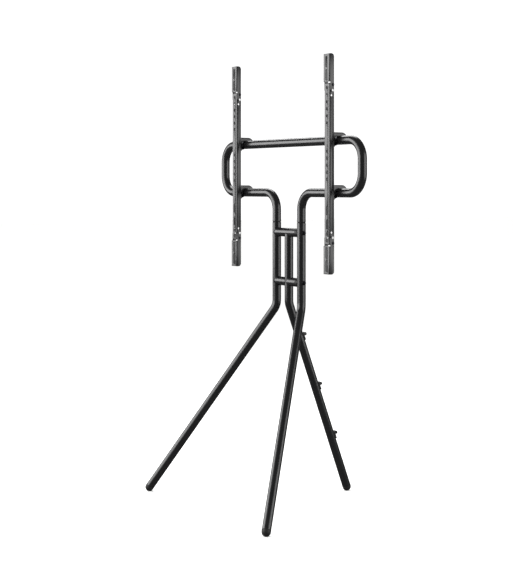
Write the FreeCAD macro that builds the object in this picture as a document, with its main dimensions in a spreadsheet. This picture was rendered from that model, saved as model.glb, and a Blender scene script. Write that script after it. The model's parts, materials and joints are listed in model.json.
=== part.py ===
import FreeCAD, Part
import math
import os
import re

import Sketcher

# Tripod floor stand for a flat screen: three bent tube legs that stand parallel at the top, a closed
# tube loop plugged onto the two outer ones, and two slotted rails that hook onto the loop, slide along
# it and carry fold-back extension arms at both ends.
#
# The frame: +Z up, +X to the right seen from the front, +Y to the rear. The origin is on the floor,
# in the middle of the rectangle that the three feet span. Every length is in millimetres.

V = FreeCAD.Vector

DRIVING_SIZES = {
    # tube stock, one size throughout
    "tube_od": 26.0,
    "tube_wall": 1.5,
    # where the feet stand, measured from the plane that holds the three posts
    "front_foot_spread": 325.5,
    "front_foot_reach": 297.0,
    "rear_foot_reach": 216.0,
    "foot_flat": 6.0,
    "cap_skirt": 4.5,
    "cap_stem": 25.0,
    # posts and leg bends
    "post_spacing": 65.0,
    "leg_top_height": 829.0,
    "front_knee_drop": 251.5,
    "rear_knee_drop": 241.0,
    "knee_bend": 52.0,
    # crossbars between the posts
    "crossbar_drop": 29.5,
    "crossbar_pitch": 147.5,
    "cope_trim": 4.0,
    "collar_length": 4.0,
    "collar_lip": 0.8,
    "insert_length": 18.0,
    "insert_setback": 3.0,
    # joint between the legs and the loop
    "joint_ring_height": 3.0,
    "joint_ring_inset": 0.6,
    "sleeve_wall": 2.0,
    "sleeve_down": 22.0,
    "sleeve_up": 30.0,
    "lock_screw_rise": 15.0,
    "lock_screw_recess": 0.5,
    "lock_screw_end": 1.0,
    # the loop
    "loop_half_width": 360.0,
    "lower_bar_rise": 86.5,
    "bar_pitch": 149.5,
    "loop_post_bend": 52.0,
    "loop_end_bend": 55.0,
    # screws
    "bolt_shank": 6.0,
    "bolt_clearance": 0.3,
    "bolt_head": 10.5,
    "bolt_head_height": 3.3,
    "washer_od": 13.0,
    "washer_height": 1.6,
    "small_screw_shank": 5.0,
    "small_screw_head": 9.0,
    "small_screw_height": 2.6,
    # cable clips on the rear leg
    "clip_first": 114.5,
    "clip_pitch": 164.8,
    "clip_width": 12.0,
    "clip_length": 22.5,
    "clip_base": 2.5,
    "clip_corner": 0.7,
    "clip_knob": 10.0,
    "clip_knob_reach": 6.0,
    "clip_knob_inset": 5.25,
    "clip_saddle_depth": 1.5,
    "clip_screw_shank": 3.0,
    "clip_screw_head": 6.0,
    "clip_screw_height": 1.4,
    "clip_screw_length": 9.0,
    "clip_screw_drop": 5.6,
    # rails
    "rail_spacing": 245.5,
    "rail_above_bars": 162.0,
    "rail_below_bars": 147.5,
    "rail_gap": 9.45,
    "rail_width": 26.6,
    "rail_depth": 15.75,
    "rail_sheet": 1.8,
    "inner_bend": 1.5,
    "rail_front_corner": 3.0,
    "rail_rear_corner": 4.0,
    "hole_diameter": 9.0,
    "hole_pitch": 20.0,
    "upper_row_top": 216.0,
    "lower_row_top": 36.0,
    "rail_slot_length": 26.4,
    "rail_slot_upper": -132.2,
    "rail_slot_pitch": 39.4,
    "notch_upper": -196.0,
    "notch_pitch": 18.0,
    "notch_length": 17.0,
    "notch_width": 6.0,
    "notch_tilt": 32.0,
    # hinges of the extension arms and the side holes beside them
    "pivot_inset": 10.4,
    "pivot_drop": 5.2,
    "pin_shank": 5.0,
    "pin_clearance": 0.05,
    "pin_head": 7.6,
    "pin_head_height": 1.2,
    "pin_play": 0.15,
    "lock_hole_drop": 21.0,
    "lock_hole_inset": 11.4,
    "lock_hole_diameter": 7.5,
    "side_hole_drop": 35.5,
    "side_hole_inset": 6.9,
    "side_hole_diameter": 6.0,
    # extension arms
    "arm_clearance": 0.25,
    "arm_length": 83.0,
    "arm_depth": 16.25,
    "arm_web_gap": 3.0,
    "arm_tail": 25.0,
    "arm_relief": 4.0,
    "arm_end_corner": 9.0,
    "arm_tail_corner": 7.0,
    "arm_slot_length": 32.0,
    "arm_slot_width": 8.5,
    "arm_slot_margin": 7.0,
    "arm_slot_bridge": 5.0,
    # hooks
    "hook_side_gap": 0.1,
    "hook_sheet": 2.5,
    "hook_crown": 9.5,
    "hook_back": 13.0,
    "hook_arc": 20.0,
    "hook_clearance": 0.35,
    "hook_tip_drop": 2.0,
    "hook_drop": 28.0,
    "hook_throat_drop": 5.0,
    "rivet_inset": 22.2,
    "rivet_rise": 7.0,
    "rivet_shank": 4.0,
    "rivet_head": 6.5,
    "rivet_head_height": 1.8,
    "rivet_tail": 0.8,
    "lock_bolt_gap": 5.15,
    "lock_bolt_angle": 35.35,
    "lock_bolt_ear": 4.2,
    "lock_nut_flats": 8.0,
    "lock_nut_height": 4.0,
    "lock_bolt_end": 1.0,
}

doc = FreeCAD.newDocument("TripodStand")
sheet = doc.addObject("Spreadsheet::Sheet", "Sizes")
for row, (alias, number) in enumerate(DRIVING_SIZES.items(), start=1):
    sheet.set(f"A{row}", alias)
    sheet.set(f"B{row}", str(number))
    sheet.setAlias(f"B{row}", alias)
doc.recompute()

# Sizes that follow from the driving ones, as expressions of the sheet.
TUBE_R = "(tube_od / 2)"
BORE_R = "(tube_od / 2 - tube_wall)"
POST_Y = "((front_foot_reach - rear_foot_reach) / 2)"
DOME_Z = "sqrt(tube_od ^ 2 / 4 - foot_flat ^ 2 / 4)"
CLIP_NAMES = ("upper_cable_clip", "middle_cable_clip", "lower_cable_clip")
FRONT_KNEE = "(leg_top_height - front_knee_drop)"
REAR_KNEE = "(leg_top_height - rear_knee_drop)"
UPPER_CROSSBAR = "(leg_top_height - crossbar_drop)"
LOWER_CROSSBAR = "(leg_top_height - crossbar_drop - crossbar_pitch)"
LOOP_START = "(leg_top_height + joint_ring_height)"
LOWER_BAR = f"({LOOP_START} + lower_bar_rise)"
UPPER_BAR = f"({LOWER_BAR} + bar_pitch)"
RAIL_TOP = f"({UPPER_BAR} + rail_above_bars)"
RAIL_FOOT = f"({LOWER_BAR} - rail_below_bars)"
RAIL_CENTRE = f"(({RAIL_TOP} + {RAIL_FOOT}) / 2)"
RAIL_HALF = "((bar_pitch + rail_above_bars + rail_below_bars) / 2)"
STAND_OFF = f"({TUBE_R} + rail_gap + rail_depth)"
BOLT_HOLE_R = "(bolt_shank / 2 + bolt_clearance)"
SMALL_HOLE_R = "(small_screw_shank / 2 + bolt_clearance)"
WASHER_FACE = f"(post_spacing + {TUBE_R} + washer_height)"
COLLAR_FACE = f"(post_spacing - {TUBE_R} - collar_length)"
PIVOT_Y = f"({POST_Y} - {STAND_OFF} + pivot_inset)"
PIVOT_RISE = f"({RAIL_HALF} - pivot_drop)"
ARM_FRONT = "(pivot_inset + arm_clearance + rail_sheet)"
ARM_WIDTH = "(rail_width + 2 * arm_clearance + 2 * rail_sheet)"
HOOK_WEB = f"({STAND_OFF} - rail_sheet)"
HOOK_HALF = "(rail_width / 2 - rail_sheet - hook_side_gap)"
HOOK_RISE = f"({TUBE_R} + hook_crown)"
HOOK_REACH = f"({TUBE_R} + hook_back)"
THROAT_R = f"({TUBE_R} + hook_clearance)"
BOLT_BEFORE = f"(({TUBE_R} + lock_bolt_gap) * cos(lock_bolt_angle))"
BOLT_BELOW = f"(({TUBE_R} + lock_bolt_gap) * sin(lock_bolt_angle))"

# How far a cutting sketch reaches past the material that it trims.
PAST = "10"

# Share of a slot's half width that its corners are rounded by, and of a head's height by its edge.
SLOT_ROUNDING = "0.98"
HEAD_ROUNDING = "0.6"
NUT_SIDES = 6
ZERO = "0"

# Turns that lay a local +Z axis along a frame axis, as yaw, pitch and roll in degrees.
UPRIGHT = ("0", "0", "0")
TOWARDS_PLUS_X = ("0", "90", "0")
TOWARDS_MINUS_X = ("180", "90", "0")
TOWARDS_MINUS_Y = ("0", "0", "90")
UPSIDE_DOWN = ("0", "180", "0")

nodes = []


def bound(expression):
    """Name the sheet in front of each alias, the form that other objects' expressions need."""
    def with_sheet(match):
        word = match.group(0)
        return f"Sizes.{word}" if word in DRIVING_SIZES else word
    return re.sub(r"[a-z][a-z0-9_]*", with_sheet, str(expression))


def value(expression):
    """The number that an expression of the sheet gives now, in millimetres or degrees."""
    result = sheet.evalExpression(str(expression))
    return float(getattr(result, "Value", result))


def placement(place, turn=UPRIGHT):
    """The expression of a placement from three coordinates and yaw, pitch and roll."""
    x, y, z = (bound(part) for part in place)
    yaw, pitch, roll = (bound(part) for part in turn)
    return f"placement(vector({x}; {y}; {z}); rotation({yaw}; {pitch}; {roll}))"


def new_body(name, place=(ZERO, ZERO, ZERO), turn=UPRIGHT):
    """An empty body with its own label, placed by expressions."""
    body = doc.addObject("PartDesign::Body", name)
    body.Label = name
    body.setExpression("Placement", placement(place, turn))
    return body


def new_sketch(body, name, role, place=None, turn=UPRIGHT):
    """A sketch on one of the body's own origin planes, shifted or turned by expressions."""
    sketch = body.newObject("Sketcher::SketchObject", name)
    plane = next(feature for feature in body.Origin.OriginFeatures if feature.Role == role)
    sketch.AttachmentSupport = [(plane, "")]
    sketch.MapMode = "FlatFace"
    if place is not None:
        sketch.setExpression("AttachmentOffset", placement(place, turn))
    return sketch


def hold(sketch, *constraint, expression=None):
    """Add one constraint and bind its value when it has one."""
    index = sketch.addConstraint(Sketcher.Constraint(*constraint))
    if expression is not None:
        sketch.setExpression(f"Constraints[{index}]", bound(expression))


def fix_point(sketch, geometry, position, x, y):
    """Fix one point of a sketch at expression coordinates from the sketch's origin."""
    hold(sketch, "DistanceX", -1, 1, geometry, position, value(x), expression=x)
    hold(sketch, "DistanceY", -1, 1, geometry, position, value(y), expression=y)


def draw_circle(sketch, x, y, radius):
    """A circle whose centre and radius are expressions."""
    centre = V(value(x), value(y))
    circle = sketch.addGeometry(Part.Circle(centre, V(0, 0, 1), value(radius)))
    fix_point(sketch, circle, 3, x, y)
    hold(sketch, "Radius", circle, value(radius), expression=radius)


def draw_chain(sketch, corners, closed=True):
    """Straight runs from corner to corner, each corner (x, y, radius) rounded to its own radius."""
    points = [V(value(x), value(y)) for x, y, _ in corners]
    radii = [value(radius) for _, _, radius in corners]
    count = len(points)
    entries = []
    exits = []
    arcs = []
    for i, point in enumerate(points):
        if radii[i] == 0:
            entries.append(point)
            exits.append(point)
            arcs.append(None)
            continue
        back = (points[i - 1] - point).normalize()
        ahead = (points[(i + 1) % count] - point).normalize()
        half_angle = back.getAngle(ahead) / 2
        reach = radii[i] / math.tan(half_angle)
        centre = point + (back + ahead).normalize() * (radii[i] / math.sin(half_angle))
        entries.append(point + back * reach)
        exits.append(point + ahead * reach)
        middle = centre + (point - centre).normalize() * radii[i]
        arcs.append(Part.Arc(entries[i], middle, exits[i]))
    vertices = [sketch.addGeometry(Part.Point(point), True) for point in points]
    for vertex, (x, y, _) in zip(vertices, corners):
        fix_point(sketch, vertex, 1, x, y)
    runs = count if closed else count - 1
    lines = []
    for i in range(runs):
        j = (i + 1) % count
        lines.append(sketch.addGeometry(Part.LineSegment(exits[i], entries[j])))
        for corner, position in ((i, 1), (j, 2)):
            if arcs[corner] is None:
                hold(sketch, "Coincident", lines[i], position, vertices[corner], 1)
            else:
                hold(sketch, "PointOnObject", vertices[corner], 1, lines[i])
    for i, curve in enumerate(arcs):
        if curve is None:
            continue
        arc = sketch.addGeometry(curve)
        starts_here = sketch.getPoint(arc, 1).isEqual(entries[i], 1e-6)
        first, last = (1, 2) if starts_here else (2, 1)
        hold(sketch, "Tangent", lines[i - 1], 2, arc, first)
        hold(sketch, "Tangent", arc, last, lines[i], 1)
        hold(sketch, "Radius", arc, radii[i], expression=corners[i][2])


def draw_slot(sketch, x, y, length, width, tilt=ZERO):
    """A round-ended slot about the point (x, y), tilted from the sketch's vertical."""
    reach = f"(({length}) / 2)"
    side = f"(({width}) / 2)"
    corners = []
    for along, across in ((1, 1), (1, -1), (-1, -1), (-1, 1)):
        across_x = f"{across} * {side} * cos({tilt}) + {along} * {reach} * sin({tilt})"
        along_y = f"{along} * {reach} * cos({tilt}) - {across} * {side} * sin({tilt})"
        corners.append((f"{x} + {across_x}", f"{y} + {along_y}", f"{side} * {SLOT_ROUNDING}"))
    draw_chain(sketch, corners)


def solid_volume(body):
    """The volume of the body as it stands."""
    doc.recompute()
    return body.Shape.Volume


def pad(body, sketch, length, symmetric=False):
    """Thicken a closed sketch, to one side or to both."""
    feature = body.newObject("PartDesign::Pad", f"{sketch.Name}_pad")
    feature.Profile = sketch
    feature.SideType = "Symmetric" if symmetric else "One side"
    feature.setExpression("Length", bound(length))
    return feature


def pocket(body, sketch, length=None, forward=False):
    """Cut a sketch out of the body, right through or to a length on one side, and see that it cuts."""
    before = solid_volume(body)
    feature = body.newObject("PartDesign::Pocket", f"{sketch.Name}_cut")
    feature.Profile = sketch
    if length is None:
        feature.Type = "ThroughAll"
        feature.SideType = "Symmetric"
    else:
        feature.Reversed = forward
        feature.setExpression("Length", bound(length))
    if solid_volume(body) >= before:
        raise RuntimeError(f"{body.Label}: {sketch.Name} cuts nothing")
    return feature


def revolve(body, sketch):
    """Turn a half profile about the sketch's vertical axis."""
    feature = body.newObject("PartDesign::Revolution", f"{sketch.Name}_turned")
    feature.Profile = sketch
    feature.ReferenceAxis = (sketch, ["V_Axis"])
    feature.Angle = 360
    return feature


def turned(name, corners, place, turn):
    """A body of revolution about its local Z axis from a half profile of (radius, height) corners."""
    body = new_body(name, place, turn)
    sketch = new_sketch(body, f"{name}_profile", "XZ_Plane")
    draw_chain(sketch, corners)
    revolve(body, sketch)
    return body


def keep(body):
    """Put a finished sub-part on the list of those that are written out."""
    nodes.append(body)
    return body


def keep_group(name, members):
    """Put identical pieces together as one sub-part of separate solids."""
    group = doc.addObject("Part::Compound", name)
    group.Label = name
    group.Links = members
    return keep(group)


def tube_profile(body, name, place):
    """The ring section of the tube stock, level, at the start of a run."""
    sketch = new_sketch(body, name, "XY_Plane", place)
    draw_circle(sketch, ZERO, ZERO, TUBE_R)
    draw_circle(sketch, ZERO, ZERO, BORE_R)
    return sketch


def bend_tube(body, start, corners):
    """Carry the tube section along a path of straight runs and bends in the body's XZ plane."""
    path = new_sketch(body, f"{body.Name}_path", "XZ_Plane")
    draw_chain(path, corners, closed=False)
    pipe = body.newObject("PartDesign::AdditivePipe", f"{body.Name}_pipe")
    pipe.Profile = tube_profile(body, f"{body.Name}_section", start)
    pipe.Spine = (path, [])
    return pipe


def headed(name, shank_radius, length, head_radius, head_height, place, turn):
    """A button-headed screw: its seat at local zero, its shank along +Z, its head below."""
    corners = [
        (ZERO, f"-({head_height})", ZERO),
        (head_radius, f"-({head_height})", f"{HEAD_ROUNDING} * ({head_height})"),
        (head_radius, ZERO, ZERO),
        (shank_radius, ZERO, ZERO),
        (shank_radius, length, ZERO),
        (ZERO, length, ZERO),
    ]
    return turned(name, corners, place, turn)


# ---------------------------------------------------------------- legs

class Leg:
    """The numbers that tell one leg from another, all as expressions."""

    def __init__(self, side, post_x, foot_x, foot_y, knee, top):
        self.side = side
        self.post_x = post_x
        self.run = f"sqrt(({foot_x} - ({post_x})) ^ 2 + ({foot_y}) ^ 2)"
        self.heading = f"atan2({foot_y}; {foot_x} - ({post_x}))"
        self.knee = knee
        self.top = top
        self.lean = f"atan({self.run} / ({knee} - {DOME_Z}))"


LEFT_LEG = Leg("left", "-post_spacing", "-front_foot_spread", "-front_foot_reach",
               FRONT_KNEE, "leg_top_height")
RIGHT_LEG = Leg("right", "post_spacing", "front_foot_spread", "-front_foot_reach",
                FRONT_KNEE, "leg_top_height")
REAR_LEG = Leg("rear", ZERO, ZERO, "rear_foot_reach",
               REAR_KNEE, f"({UPPER_CROSSBAR} - cope_trim)")


def cross_hole(body, leg, height):
    """A bolt hole through both walls of a post, along the frame's X axis."""
    sketch = new_sketch(body, f"{body.Name}_hole_{len(body.Group)}", "YZ_Plane",
                        place=(ZERO, ZERO, ZERO), turn=(ZERO, f"-({leg.heading})", ZERO))
    draw_circle(sketch, ZERO, height, BOLT_HOLE_R)
    pocket(body, sketch)


def make_leg(name, leg):
    """A leg: an upright post, one bend, and a straight slanted run down to its foot cap."""
    body = new_body(name, (leg.post_x, POST_Y, ZERO), (leg.heading, ZERO, ZERO))
    end_x = f"({leg.run} - cap_skirt * sin({leg.lean}))"
    end_z = f"({DOME_Z} + cap_skirt * cos({leg.lean}))"
    bend_tube(body, (ZERO, ZERO, leg.top), [
        (ZERO, leg.top, ZERO),
        (ZERO, leg.knee, "knee_bend"),
        (end_x, end_z, ZERO),
    ])
    return body


def make_foot_cap(name, leg):
    """A moulded cap: a stem inside the tube, a short skirt, and a dome with a small level flat."""
    foot_x = f"{leg.post_x} + {leg.run} * cos({leg.heading})"
    foot_y = f"{POST_Y} + {leg.run} * sin({leg.heading})"
    body = new_body(name, (foot_x, foot_y, DOME_Z), (leg.heading, f"-({leg.lean})", ZERO))
    profile = new_sketch(body, f"{name}_profile", "XZ_Plane")
    draw_chain(profile, [
        (ZERO, ZERO, ZERO),
        (TUBE_R, ZERO, ZERO),
        (TUBE_R, "cap_skirt", ZERO),
        (BORE_R, "cap_skirt", ZERO),
        (BORE_R, "cap_skirt + cap_stem", "tube_wall"),
        (ZERO, "cap_skirt + cap_stem", ZERO),
    ])
    revolve(body, profile)
    dome = body.newObject("PartDesign::AdditiveSphere", f"{name}_dome")
    dome.setExpression("Radius", bound(TUBE_R))
    dome.Angle1 = -90
    dome.Angle2 = 0
    below = (f"-{DOME_Z} * sin({leg.lean})", ZERO, f"-{DOME_Z} * cos({leg.lean})")
    flat = new_sketch(body, f"{name}_flat", "XY_Plane", below, (ZERO, leg.lean, ZERO))
    draw_circle(flat, ZERO, ZERO, TUBE_R)
    pocket(body, flat, PAST)
    return keep(body)


def saddle_cut(body, x, name):
    """Shape the end of a crossbar to the round of the post that stands at x."""
    sketch = new_sketch(body, name, "XY_Plane")
    draw_circle(sketch, x, ZERO, TUBE_R)
    pocket(body, sketch)


def make_front_legs():
    """The two outer legs; the right one has a bolt hole for each crossbar."""
    keep(make_leg("front_left_leg", LEFT_LEG))
    right = make_leg("front_right_leg", RIGHT_LEG)
    cross_hole(right, RIGHT_LEG, UPPER_CROSSBAR)
    cross_hole(right, RIGHT_LEG, LOWER_CROSSBAR)
    keep(right)


def clip_station(number):
    """Distance from the rear leg's bend point down the leg to a cable clip."""
    return f"(clip_first + {number} * clip_pitch)"


def clip_screw_station(number):
    """Distance from the rear leg's bend point down the leg to a cable clip's screw."""
    return f"({clip_station(number)} + clip_screw_drop)"


def on_rear_leg(distance):
    """The point on the rear leg's slanted axis at a distance below its bend point."""
    along = f"({distance}) * sin({REAR_LEG.lean})"
    down = f"{REAR_KNEE} - ({distance}) * cos({REAR_LEG.lean})"
    return along, down


def make_rear_leg():
    """The middle leg: saddled under the upper crossbar, drilled for the long bolt and the clips."""
    body = make_leg("rear_leg", REAR_LEG)
    saddle = new_sketch(body, "rear_leg_saddle", "YZ_Plane",
                        place=(ZERO, ZERO, ZERO), turn=(ZERO, f"-({REAR_LEG.heading})", ZERO))
    draw_circle(saddle, ZERO, UPPER_CROSSBAR, TUBE_R)
    pocket(body, saddle)
    cross_hole(body, REAR_LEG, LOWER_CROSSBAR)
    for number in range(len(CLIP_NAMES)):
        along, down = on_rear_leg(clip_screw_station(number))
        sketch = new_sketch(body, f"clip_hole_{number}", "XY_Plane",
                            (along, ZERO, down), (ZERO, f"90 deg - {REAR_LEG.lean}", ZERO))
        draw_circle(sketch, ZERO, ZERO, "clip_screw_shank / 2")
        pocket(body, sketch, "tube_od", forward=True)
    keep(body)


# ---------------------------------------------------------------- crossbars and their fasteners

def make_crossbar(name, start, end, height, posts):
    """A level length of tube between posts, coped to each post that it is welded or held to."""
    body = new_body(name, (ZERO, POST_Y, height))
    section = new_sketch(body, f"{name}_section", "YZ_Plane", (ZERO, ZERO, start))
    draw_circle(section, ZERO, ZERO, TUBE_R)
    draw_circle(section, ZERO, ZERO, BORE_R)
    pad(body, section, f"{end} - ({start})")
    for number, post in enumerate(posts):
        saddle_cut(body, post, f"{name}_cope_{number}")
    return keep(body)


def make_collar(name, height):
    """The moulded saddle between a square-cut crossbar end and the right post."""
    body = new_body(name, (ZERO, POST_Y, height))
    section = new_sketch(body, f"{name}_section", "YZ_Plane", (ZERO, ZERO, COLLAR_FACE))
    draw_circle(section, ZERO, ZERO, f"{TUBE_R} + collar_lip")
    draw_circle(section, ZERO, ZERO, BOLT_HOLE_R)
    pad(body, section, f"collar_length + {TUBE_R} - cope_trim")
    saddle_cut(body, "post_spacing", f"{name}_cope")
    return keep(body)


def make_insert(name, end_x, height):
    """A threaded plug welded inside a crossbar, its face at end_x and its length towards -X."""
    corners = [
        ("bolt_shank / 2", ZERO, ZERO),
        (BORE_R, ZERO, ZERO),
        (BORE_R, "insert_length", ZERO),
        ("bolt_shank / 2", "insert_length", ZERO),
    ]
    keep(turned(name, corners, (end_x, POST_Y, height), TOWARDS_MINUS_X))


def make_saddle_washer(name, height):
    """A washer that is flat to the bolt head and hollow to the post."""
    body = new_body(name, (ZERO, POST_Y, height))
    section = new_sketch(body, f"{name}_section", "YZ_Plane", (ZERO, ZERO, "post_spacing"))
    draw_circle(section, ZERO, ZERO, "washer_od / 2")
    draw_circle(section, ZERO, ZERO, BOLT_HOLE_R)
    pad(body, section, f"{TUBE_R} + washer_height")
    saddle_cut(body, "post_spacing", f"{name}_cope")
    return body


def make_crossbar_bolt(name, insert_end, height):
    """A button-headed bolt from the right post's outer side into its insert."""
    length = f"{WASHER_FACE} - ({insert_end}) + insert_length - 2 * tube_wall"
    keep(headed(name, "bolt_shank / 2", length, "bolt_head / 2", "bolt_head_height",
                (WASHER_FACE, POST_Y, height), TOWARDS_MINUS_X))


def make_crossbars():
    """Two levels of crossbar: one length above, two halves either side of the middle post below."""
    make_crossbar("upper_crossbar", "-post_spacing + cope_trim", COLLAR_FACE,
                  UPPER_CROSSBAR, ["-post_spacing"])
    make_crossbar("lower_crossbar_left", "-post_spacing + cope_trim", "-cope_trim",
                  LOWER_CROSSBAR, ["-post_spacing", ZERO])
    make_crossbar("lower_crossbar_right", "cope_trim", COLLAR_FACE,
                  LOWER_CROSSBAR, [ZERO])
    make_collar("upper_crossbar_collar", UPPER_CROSSBAR)
    make_collar("lower_crossbar_collar", LOWER_CROSSBAR)
    upper_insert = f"{COLLAR_FACE} - insert_setback"
    lower_insert = f"-{TUBE_R} - insert_setback"
    make_insert("upper_crossbar_insert", upper_insert, UPPER_CROSSBAR)
    make_insert("lower_crossbar_insert", lower_insert, LOWER_CROSSBAR)
    make_crossbar_bolt("upper_crossbar_bolt", upper_insert, UPPER_CROSSBAR)
    make_crossbar_bolt("lower_crossbar_bolt", lower_insert, LOWER_CROSSBAR)
    keep_group("crossbar_washers", [
        make_saddle_washer("upper_washer", UPPER_CROSSBAR),
        make_saddle_washer("lower_washer", LOWER_CROSSBAR),
    ])


# ---------------------------------------------------------------- loop and its joints

def make_loop():
    """One closed-looking tube: up from each outer post, out, round both D ends and across the top."""
    body = new_body("upper_loop_frame", (ZERO, POST_Y, ZERO))
    bend_tube(body, ("-post_spacing", ZERO, LOOP_START), [
        ("-post_spacing", LOOP_START, ZERO),
        ("-post_spacing", LOWER_BAR, "loop_post_bend"),
        ("-loop_half_width", LOWER_BAR, "loop_end_bend"),
        ("-loop_half_width", UPPER_BAR, "loop_end_bend"),
        ("loop_half_width", UPPER_BAR, "loop_end_bend"),
        ("loop_half_width", LOWER_BAR, "loop_end_bend"),
        ("post_spacing", LOWER_BAR, "loop_post_bend"),
        ("post_spacing", LOOP_START, ZERO),
    ])
    holes = new_sketch(body, "lock_screw_holes", "XZ_Plane")
    for x in ("-post_spacing", "post_spacing"):
        draw_circle(holes, x, f"{LOOP_START} + lock_screw_rise", SMALL_HOLE_R)
    pocket(body, holes, "tube_od")
    keep(body)


def make_joint(side, x):
    """The sleeve inside a loop joint and the dark ring that shows between the two tube ends."""
    sleeve = turned(f"{side}_joint_sleeve", [
        (f"{BORE_R} - sleeve_wall", "-sleeve_down", ZERO),
        (BORE_R, "-sleeve_down", ZERO),
        (BORE_R, "joint_ring_height + sleeve_up", ZERO),
        (f"{BORE_R} - sleeve_wall", "joint_ring_height + sleeve_up", ZERO),
    ], (x, POST_Y, "leg_top_height"), UPRIGHT)
    hole = new_sketch(sleeve, f"{side}_sleeve_hole", "XZ_Plane")
    draw_circle(hole, ZERO, "joint_ring_height + lock_screw_rise", "small_screw_shank / 2")
    pocket(sleeve, hole, "tube_od")
    keep(sleeve)
    keep(turned(f"{side}_joint_ring", [
        (BORE_R, ZERO, ZERO),
        (f"{TUBE_R} - joint_ring_inset", ZERO, ZERO),
        (f"{TUBE_R} - joint_ring_inset", "joint_ring_height", ZERO),
        (BORE_R, "joint_ring_height", ZERO),
    ], (x, POST_Y, "leg_top_height"), UPRIGHT))


def make_lock_screws():
    """One headless set screw from behind through the loop's tube into each sleeve."""
    length = "(tube_wall - lock_screw_recess + sleeve_wall + lock_screw_end)"
    corners = [
        (ZERO, ZERO, ZERO),
        ("small_screw_shank / 2", ZERO, ZERO),
        ("small_screw_shank / 2", length, ZERO),
        (ZERO, length, ZERO),
    ]
    screws = []
    for side, x in (("left", "-post_spacing"), ("right", "post_spacing")):
        place = (x, f"{POST_Y} + {TUBE_R} - lock_screw_recess", f"{LOOP_START} + lock_screw_rise")
        screws.append(turned(f"{side}_lock_screw", corners, place, TOWARDS_MINUS_Y))
    keep_group("joint_lock_screws", screws)


# ---------------------------------------------------------------- cable clips

def make_cable_clip(name, number):
    """A moulded clip on the back of the rear leg: a saddled base with a round knob at its upper end."""
    along, down = on_rear_leg(clip_station(number))
    body = new_body(name, (ZERO, f"{POST_Y} + {along}", down),
                    ("90", f"-({REAR_LEG.lean})", ZERO))
    outline = new_sketch(body, f"{name}_outline", "XZ_Plane")
    inner = f"({TUBE_R} - clip_saddle_depth)"
    face = f"({TUBE_R} + clip_base)"
    half = "(clip_length / 2)"
    draw_chain(outline, [
        (inner, f"-{half}", ZERO),
        (face, f"-{half}", "clip_corner"),
        (face, half, "clip_corner"),
        (inner, half, ZERO),
    ])
    pad(body, outline, "clip_width", symmetric=True)
    knob = new_sketch(body, f"{name}_knob", "XZ_Plane")
    draw_circle(knob, f"{TUBE_R} + clip_knob_reach", f"{half} - clip_knob_inset", "clip_knob / 2")
    pad(body, knob, "clip_width", symmetric=True)
    saddle = new_sketch(body, f"{name}_saddle", "XY_Plane")
    draw_circle(saddle, ZERO, ZERO, TUBE_R)
    pocket(body, saddle)
    hole = new_sketch(body, f"{name}_hole", "YZ_Plane")
    draw_circle(hole, ZERO, "-clip_screw_drop", "clip_screw_shank / 2")
    pocket(body, hole)
    keep(body)


def make_clip_screws():
    """One screw through each clip's base into the leg."""
    screws = []
    for number in range(len(CLIP_NAMES)):
        along, down = on_rear_leg(clip_screw_station(number))
        stand_off = f"({TUBE_R} + clip_base)"
        place = (ZERO, f"{POST_Y} + {along} + {stand_off} * cos({REAR_LEG.lean})",
                 f"{down} + {stand_off} * sin({REAR_LEG.lean})")
        screws.append(headed(f"clip_screw_{number}", "clip_screw_shank / 2", "clip_screw_length",
                             "clip_screw_head / 2", "clip_screw_height",
                             place, ("-90", f"90 deg + {REAR_LEG.lean}", ZERO)))
    keep_group("cable_clip_screws", screws)


# ---------------------------------------------------------------- rails

RAIL_FRONT = f"-{STAND_OFF}"
RAIL_REAR = f"(rail_depth - {STAND_OFF})"
ENDS = (1, -1)


def make_channel(body, outline_corners, width, sheet_name, front, rear, low, high):
    """Fold a channel, open to the rear, round its web, then trim it to a side outline."""
    side = f"(({width}) / 2)"
    inner = f"({side} - {sheet_name})"
    web = f"({front} + {sheet_name})"
    bend = f"({sheet_name} + inner_bend)"
    profile = new_sketch(body, f"{body.Name}_fold", "XY_Plane", (ZERO, ZERO, low))
    draw_chain(profile, [
        (f"-{side}", rear, ZERO),
        (f"-{side}", front, bend),
        (side, front, bend),
        (side, rear, ZERO),
        (inner, rear, ZERO),
        (inner, web, "inner_bend"),
        (f"-{inner}", web, "inner_bend"),
        (f"-{inner}", rear, ZERO),
    ])
    pad(body, profile, f"{high} - ({low})")
    trim = new_sketch(body, f"{body.Name}_trim", "YZ_Plane")
    draw_chain(trim, outline_corners)
    draw_chain(trim, [
        (f"{front} - {PAST}", f"{low} - {PAST}", ZERO),
        (f"{rear} + {PAST}", f"{low} - {PAST}", ZERO),
        (f"{rear} + {PAST}", f"{high} + {PAST}", ZERO),
        (f"{front} - {PAST}", f"{high} + {PAST}", ZERO),
    ])
    pocket(body, trim)


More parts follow.
